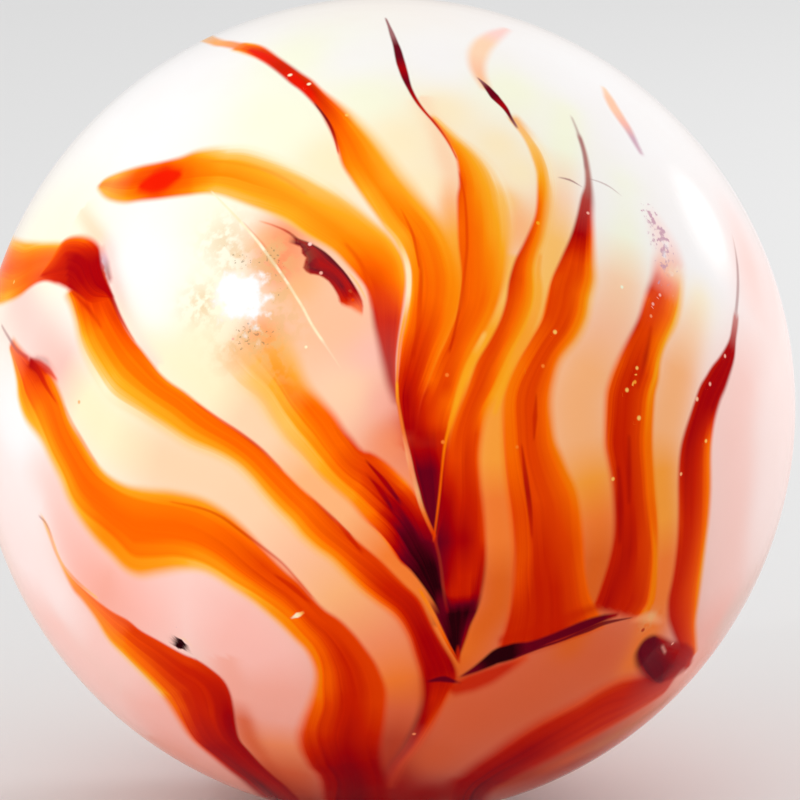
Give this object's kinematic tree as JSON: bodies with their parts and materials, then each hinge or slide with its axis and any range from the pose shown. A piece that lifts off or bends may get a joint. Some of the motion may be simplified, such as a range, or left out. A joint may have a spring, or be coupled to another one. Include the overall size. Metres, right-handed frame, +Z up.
{
  "type": "glass marble",
  "caption": "Solid glass ball with folded ribbons of amber, red and oxblood glass running through milky white glass at its skin.",
  "frame": {"origin": "centre of the ball", "axes": "+Z up with the marble as it sits; -Y out of the face that shows the fold in the swirl; +X to the right of that face"},
  "size_m": [0.0158, 0.0159, 0.0158],
  "materials": {
    "swirl_glass": "polished opaque milky glass with amber, red and oxblood ribbons"
  },
  "bodies": {
    "root": {"marble": "swirl_glass"}
  },
  "joints": []
}
